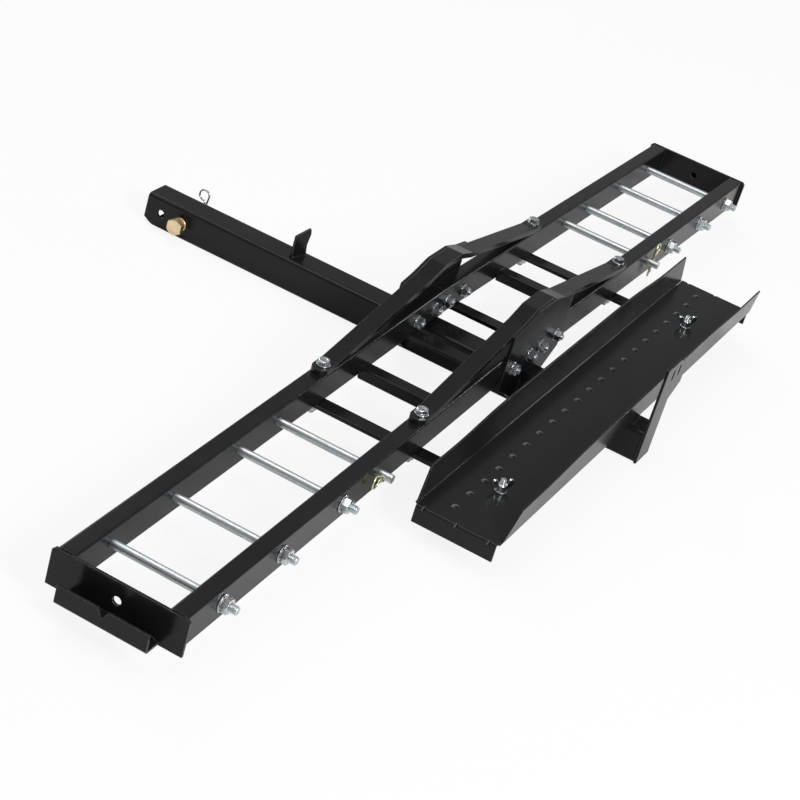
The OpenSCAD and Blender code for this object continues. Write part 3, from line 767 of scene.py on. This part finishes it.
def makeHitchPin():
    low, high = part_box("hitch_pin")
    centre = middle("hitch_pin")
    seat = Vector((low.x + hitchPin["headH"] * mm, centre.y, centre.z))
    bm = bmesh.new()
    addHead(bm, along(seat, (-1, 0, 0), math.pi / 6), hitchPin["af"], hitchPin["headH"],
            hitchPin["foot"], hitchPin["dish"])
    end = (high.x - seat.x) / mm
    shoulder = end - hitchPin["nose"]
    r = hitchPin["d"] / 2
    noseR = hitchPin["noseD"] / 2
    addRound(bm, along(seat, (1, 0, 0)), [(r, -0.3), (r, shoulder), (r - 0.3, shoulder + 0.4),
                                          (noseR, end - 0.3), (noseR - 0.5, end)])
    pieceFrom(bm, "hitchPinTurned", pinPlate, "hitch_pin", ("hitch_pin",))
    bm = bmesh.new()
    low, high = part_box("hitch_pin_collar")
    place = along(Vector((low.x, centre.y, centre.z)), (1, 0, 0))
    addWasher(bm, place, (high.z - low.z) / 2 / mm, r + hitchPin["collarPlay"],
              (high.x - low.x) / mm)
    pieceFrom(bm, "hitchPinCollarRounded", pinPlate, "hitch_pin",
              ("hitch_pin_collar",))


makeHitchPin()
print("hitch pin made")


# Wire clips, in millimetres; turns in degrees

clip = {
    "wire": 3.2, "eye": 8.5, "tail": 18.0, "play": 0.6, "waist": 1.15, "reach": 1.75,
    "flare": ((0.2, 0), (1.5, 4), (4, 8)), "sides": 14, "endR": 0.7, "endL": 0.5, "crease": 50,
    "stopPinR": 6.0, "hitchTurn": -8, "rightTurn": 0, "leftTurn": -68,
}


def arc(middleX, middleZ, radius, degrees):
    return [(middleX + radius * math.cos(math.radians(a)),
             middleZ + radius * math.sin(math.radians(a))) for a in degrees]


def clipLine(pinR):  # the wire's centre line: x across the pin, z along the straight leg
    eye = clip["eye"]
    hump = pinR + clip["wire"] / 2 + clip["play"]
    waist = clip["wire"] * clip["waist"]
    span = clip["reach"] * pinR
    turnR = eye - waist
    points = [(0, -pinR - clip["tail"]), (0, -pinR), (0, 0), (0, span)]
    points += arc(eye, span + turnR + eye, eye, range(180, -91, -10))
    points += arc(eye, span, turnR, range(100, 181, 10))
    for k in range(1, 20):
        s = 1 - k * 0.1
        points.append((waist + (hump - waist) * math.cos(math.radians(90 * s)) ** 2, span * s))
    points += [(waist + x, -span - z) for x, z in clip["flare"]]
    return points


def sweep(bm, path, radii, place, sides):  # path in millimetres in the local XZ plane
    rings = []
    for i, point in enumerate(path):
        ahead = path[min(i + 1, len(path) - 1)]
        behind = path[max(i - 1, 0)]
        way = (Vector(ahead) - Vector(behind)).normalized()
        across = Vector((way.y, -way.x))
        row = []
        for k in range(sides):
            a = 2 * math.pi * k / sides
            out = across * (radii[i] * math.cos(a))
            row.append(Vector((point[0] + out.x, radii[i] * math.sin(a), point[1] + out.y)))
        rings.append(row)
    loft(bm, rings, place)


def makeClip(name, body, label, pinR, place, material):
    bm = bmesh.new()
    line = clipLine(pinR)
    r = clip["wire"] / 2
    first = Vector(line[0]) + Vector((0, clip["endL"]))  # the ends are a little rounded
    last = Vector(line[-1])
    back = last - (last - Vector(line[-2])).normalized() * clip["endL"]
    path = [line[0], tuple(first)] + line[1:-1] + [tuple(back), line[-1]]
    tip = r * clip["endR"]
    sweep(bm, path, [tip] + [r] * (len(path) - 2) + [tip], place, clip["sides"])
    pieceFrom(bm, label, material, body, (name,), clip["crease"])


def clipPlace(node, pin, leg, across, thin):  # where the CAD clip is; thin is its thin axis
    low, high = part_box(node)
    spot = Vector(middle(pin))
    spot[thin] = (low[thin] + high[thin]) / 2
    up = leg.normalized()
    side = across.normalized()
    turn = Matrix((side, up.cross(side), up)).transposed().to_4x4()
    return Matrix.Translation(spot) @ turn


def makeHitchClip():
    a = math.radians(clip["hitchTurn"])
    leg = Vector((0, math.sin(a), math.cos(a)))
    across = Vector((0, math.cos(a), -math.sin(a)))
    place = clipPlace("hitch_pin_clip", "hitch_pin_collar", leg, across, 0)
    makeClip("hitch_pin_clip", "hitch_pin", "hitchPinClipWire", hitchPin["d"] / 2, place,
             brightZinc)


def makeStopClip(side, label, node, pin, turn):
    a = math.radians(turn)
    leg = halfUp(side) * math.cos(a) - halfOut(side) * math.sin(a)
    across = halfOut(side) * math.cos(a) + halfUp(side) * math.sin(a)
    makeClip(node, pin, label, clip["stopPinR"], clipPlace(node, pin, leg, across, 1), clipPlate)


makeHitchClip()
makeStopClip(1, "stopClipWireRight", "stop_clip_right", "stop_pin_right", clip["rightTurn"])
makeStopClip(-1, "stopClipWireLeft", "stop_clip_left", "stop_pin_left", clip["leftTurn"])
print("wire clips made")


# Weld beads, painted with what they join; sizes in millimetres, the tab's turn in degrees

weld = {
    "wide": 5.0, "tabWide": 5.5, "middling": 4.0, "cross": 3.5, "narrow": 3.0,
    "ripple": 2.4, "steps": 3, "sides": 8, "swell": 0.14, "ragged": 0.10, "driftSteps": 6,
    "endR": 0.35, "taper": 0.6, "crease": 70,
    "tabW": 30.0, "tabT": 4.0, "tabTurn": -18,
    "plateT": 4.0, "plateGap": 0.3, "hookDrop": 47.0, "tubeDrop": 34.0, "tubeEnd": 16.0,
    "baseHalf": 9.0,
}
# How far each seam stops short of a corner
shortOf = {
    "deck": 4.0, "bar": 5.0, "bracket": 4.0, "rail": 3.0, "railTop": 4.0, "hook": 6.0, "tube": 3.0,
}


def addWeld(bm, a, b, width, seed):
    rnd = random.Random(seed)
    length = (b - a).length / mm
    count = int(length / weld["ripple"] * weld["steps"])
    drift = [rnd.uniform(-1, 1) for _ in range(count // weld["driftSteps"] + 3)]
    rings = []
    for k in range(count + 1):
        t = k / count
        z = t * length
        swell = 0.5 + 0.5 * math.cos(2 * math.pi * z / weld["ripple"])
        place = t * (len(drift) - 2)
        share = place % 1
        wander = drift[int(place)] * (1 - share) + drift[int(place) + 1] * share
        r = width / 2 * (1 - weld["swell"] * (1 - swell) + weld["ragged"] * wander)
        near = math.sqrt(min(z, length - z) / (weld["taper"] * width) + 0.02)
        r *= min(1.0, weld["endR"] + (1 - weld["endR"]) * near)  # each end tapers off
        rings.append(ring(r, z, weld["sides"]))
    loft(bm, rings, along(a, b - a))


def tabSeams():
    foot = Vector((0, middle("drawbar_tab").y, deckZ))
    turn = Matrix.Rotation(math.radians(weld["tabTurn"]), 3, "Z")
    for y in (-weld["tabT"] / 2, weld["tabT"] / 2):
        ends = [foot + turn @ Vector((x * weld["tabW"] / 2, y, 0)) * mm for x in (-1, 1)]
        yield *ends, weld["tabWide"]


def drawbarSeams():  # side plates and rear bracket on the drawbar
    for name in ("side_plate_near", "side_plate_far"):
        low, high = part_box(name)
        for y in (low.y, high.y):
            for x in (-barHalf, barHalf):
                z = deckZ - shortOf["deck"] * mm
                yield Vector((x, y, low.z)), Vector((x, y, z)), weld["wide"]
            x = barHalf - shortOf["bar"] * mm
            yield Vector((-x, y, deckZ)), Vector((x, y, deckZ)), weld["wide"]
    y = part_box("rear_bracket")[1].y
    x = barHalf - shortOf["bracket"] * mm
    yield Vector((-x, y, deckZ)), Vector((x, y, deckZ)), weld["wide"]
    z = deckZ - shortOf["bar"] * mm
    for x in (-barHalf, barHalf):
        yield Vector((x, y, -z)), Vector((x, y, z)), weld["middling"]


def railSeams(side):  # end plate on the rails, hook channel on the end plate
    end = railL + weld["plateGap"] * mm
    short = shortOf["rail"] * mm
    for y in (-halfW, -halfW + railW, halfW - railW, halfW):
        yield (halfPoint(side, end, y, -railH + short), halfPoint(side, end, y, -short),
               weld["middling"])
    short = shortOf["railTop"] * mm
    for y in (-halfW, halfW - railW):
        yield (halfPoint(side, end, y + short, 0), halfPoint(side, end, y + railW - short, 0),
               weld["narrow"])
    half = size("hook_channel_right").y / 2 - shortOf["hook"] * mm
    outer = railL + weld["plateT"] * mm
    z = -weld["hookDrop"] * mm
    yield halfPoint(side, outer, -half, z), halfPoint(side, outer, half, z), weld["middling"]


def barSeams(side):  # cross tube and base bar on the rails
    x = middle("cross_tube_right").x / math.cos(tilt)
    reach = size("cross_tube_right").x / 2
    top = -weld["tubeDrop"] * mm
    short = shortOf["tube"] * mm
    for y in (railW - halfW, halfW - railW):
        yield (halfPoint(side, x - reach + short, y, top),
               halfPoint(side, x + reach - short, y, top), weld["middling"])
        for e in (x - reach, x + reach):
            yield (halfPoint(side, e, y, top - weld["tubeEnd"] * mm),
                   halfPoint(side, e, y, top - short), weld["cross"])
    x = middle("base_bar_right").x / math.cos(tilt)
    reach = size("base_bar_right").x / 2
    half = weld["baseHalf"] * mm
    for y in (railW / 2 - halfW, halfW - railW / 2):
        for e in (x - reach, x + reach):
            yield (halfPoint(side, e, y - half, -railH), halfPoint(side, e, y + half, -railH),
                   weld["middling"])


def makeWelds():
    bm = bmesh.new()
    seams = [*tabSeams(), *drawbarSeams()]
    for side in (-1, 1):
        seams += [*railSeams(side), *barSeams(side)]
    for seed, (a, b, width) in enumerate(seams, 1):
        addWeld(bm, a, b, width, seed)
    pieceFrom(bm, "weldBeads", blackCoat, "carrier", (), weld["crease"])


makeWelds()
print("welds made")


# Floor, lamps and world

stage = {
    "floor": 30.0,
    "floorDrop": 0.0005,
    "floorColour": (0.90, 0.90, 0.90, 1),
    "glow": 0.87,  # share of white in the floor that the camera sees
    "glowInShine": 0.10,  # share of white that metal mirrors
    "world": 0.27,
    "aim": 0.03,
    "lamps": [
        # name, place, size, watts
        ("over", (-0.3, 0.2, 4.0), 3.2, 60),
        ("side", (-2.0, -3.4, 2.3), 1.4, 110),
        ("rim", (2.8, -2.15, 0.80), 0.35, 11),
        ("back", (2.6, 3.0, 3.0), 1.8, 50),
    ],
}


def glowShare(tree, seen):  # how much white the camera, glossy and transmission rays see
    rays = tree.nodes.new("ShaderNodeLightPath").outputs
    camera = mathNode(tree, "MULTIPLY", rays["Is Camera Ray"], seen)
    either = mathNode(tree, "MAXIMUM", rays["Is Glossy Ray"], rays["Is Transmission Ray"])
    mirrored = mathNode(tree, "MULTIPLY", either, stage["glowInShine"])
    return mathNode(tree, "MAXIMUM", camera, mirrored)


def mixShaders(tree, amount, first, second):
    mix = tree.nodes.new("ShaderNodeMixShader")
    for socket, value in zip(mix.inputs, (amount, first.outputs[0], second.outputs[0])):
        feed(tree, socket, value)
    return mix


def makeFloor():
    bm = bmesh.new()
    bmesh.ops.create_grid(bm, x_segments=8, y_segments=8, size=stage["floor"] / 2)
    mesh = bpy.data.meshes.new("floor")
    bm.to_mesh(mesh)
    bm.free()
    floor = bpy.data.objects.new("floor", mesh)
    scene.collection.objects.link(floor)
    floor.location = (0, trackY, cadBox[0][2] - stage["floorDrop"])
    material, tree = newMaterial("paleFloor")
    matt = tree.nodes.new("ShaderNodeBsdfDiffuse")
    matt.inputs["Color"].default_value = stage["floorColour"]
    glow = tree.nodes.new("ShaderNodeEmission")
    finish(tree, mixShaders(tree, glowShare(tree, stage["glow"]), matt, glow))
    mesh.materials.append(material)


def makeWorld():
    world = bpy.data.worlds.new("world")
    scene.world = world
    world.use_nodes = True
    tree = world.node_tree
    tree.nodes.clear()
    light = tree.nodes.new("ShaderNodeBackground")
    light.inputs["Strength"].default_value = stage["world"]
    white = tree.nodes.new("ShaderNodeBackground")
    white.inputs["Color"].default_value = grey(1)
    mix = mixShaders(tree, glowShare(tree, 1.0), light, white)
    out = tree.nodes.new("ShaderNodeOutputWorld")
    feed(tree, out.inputs["Surface"], mix.outputs[0])


def makeLamps():
    aim = Vector((0, trackY, stage["aim"]))
    for name, place, width, watts in stage["lamps"]:
        data = bpy.data.lights.new(name, "AREA")
        data.shape = "SQUARE"
        data.size = width
        data.energy = watts
        lamp = bpy.data.objects.new(name, data)
        scene.collection.objects.link(lamp)
        lamp.location = place
        lamp.rotation_euler = (aim - Vector(place)).to_track_quat("-Z", "Y").to_euler()


makeFloor()
makeWorld()
makeLamps()
scene.view_settings.view_transform = "Standard"
print("stage made")
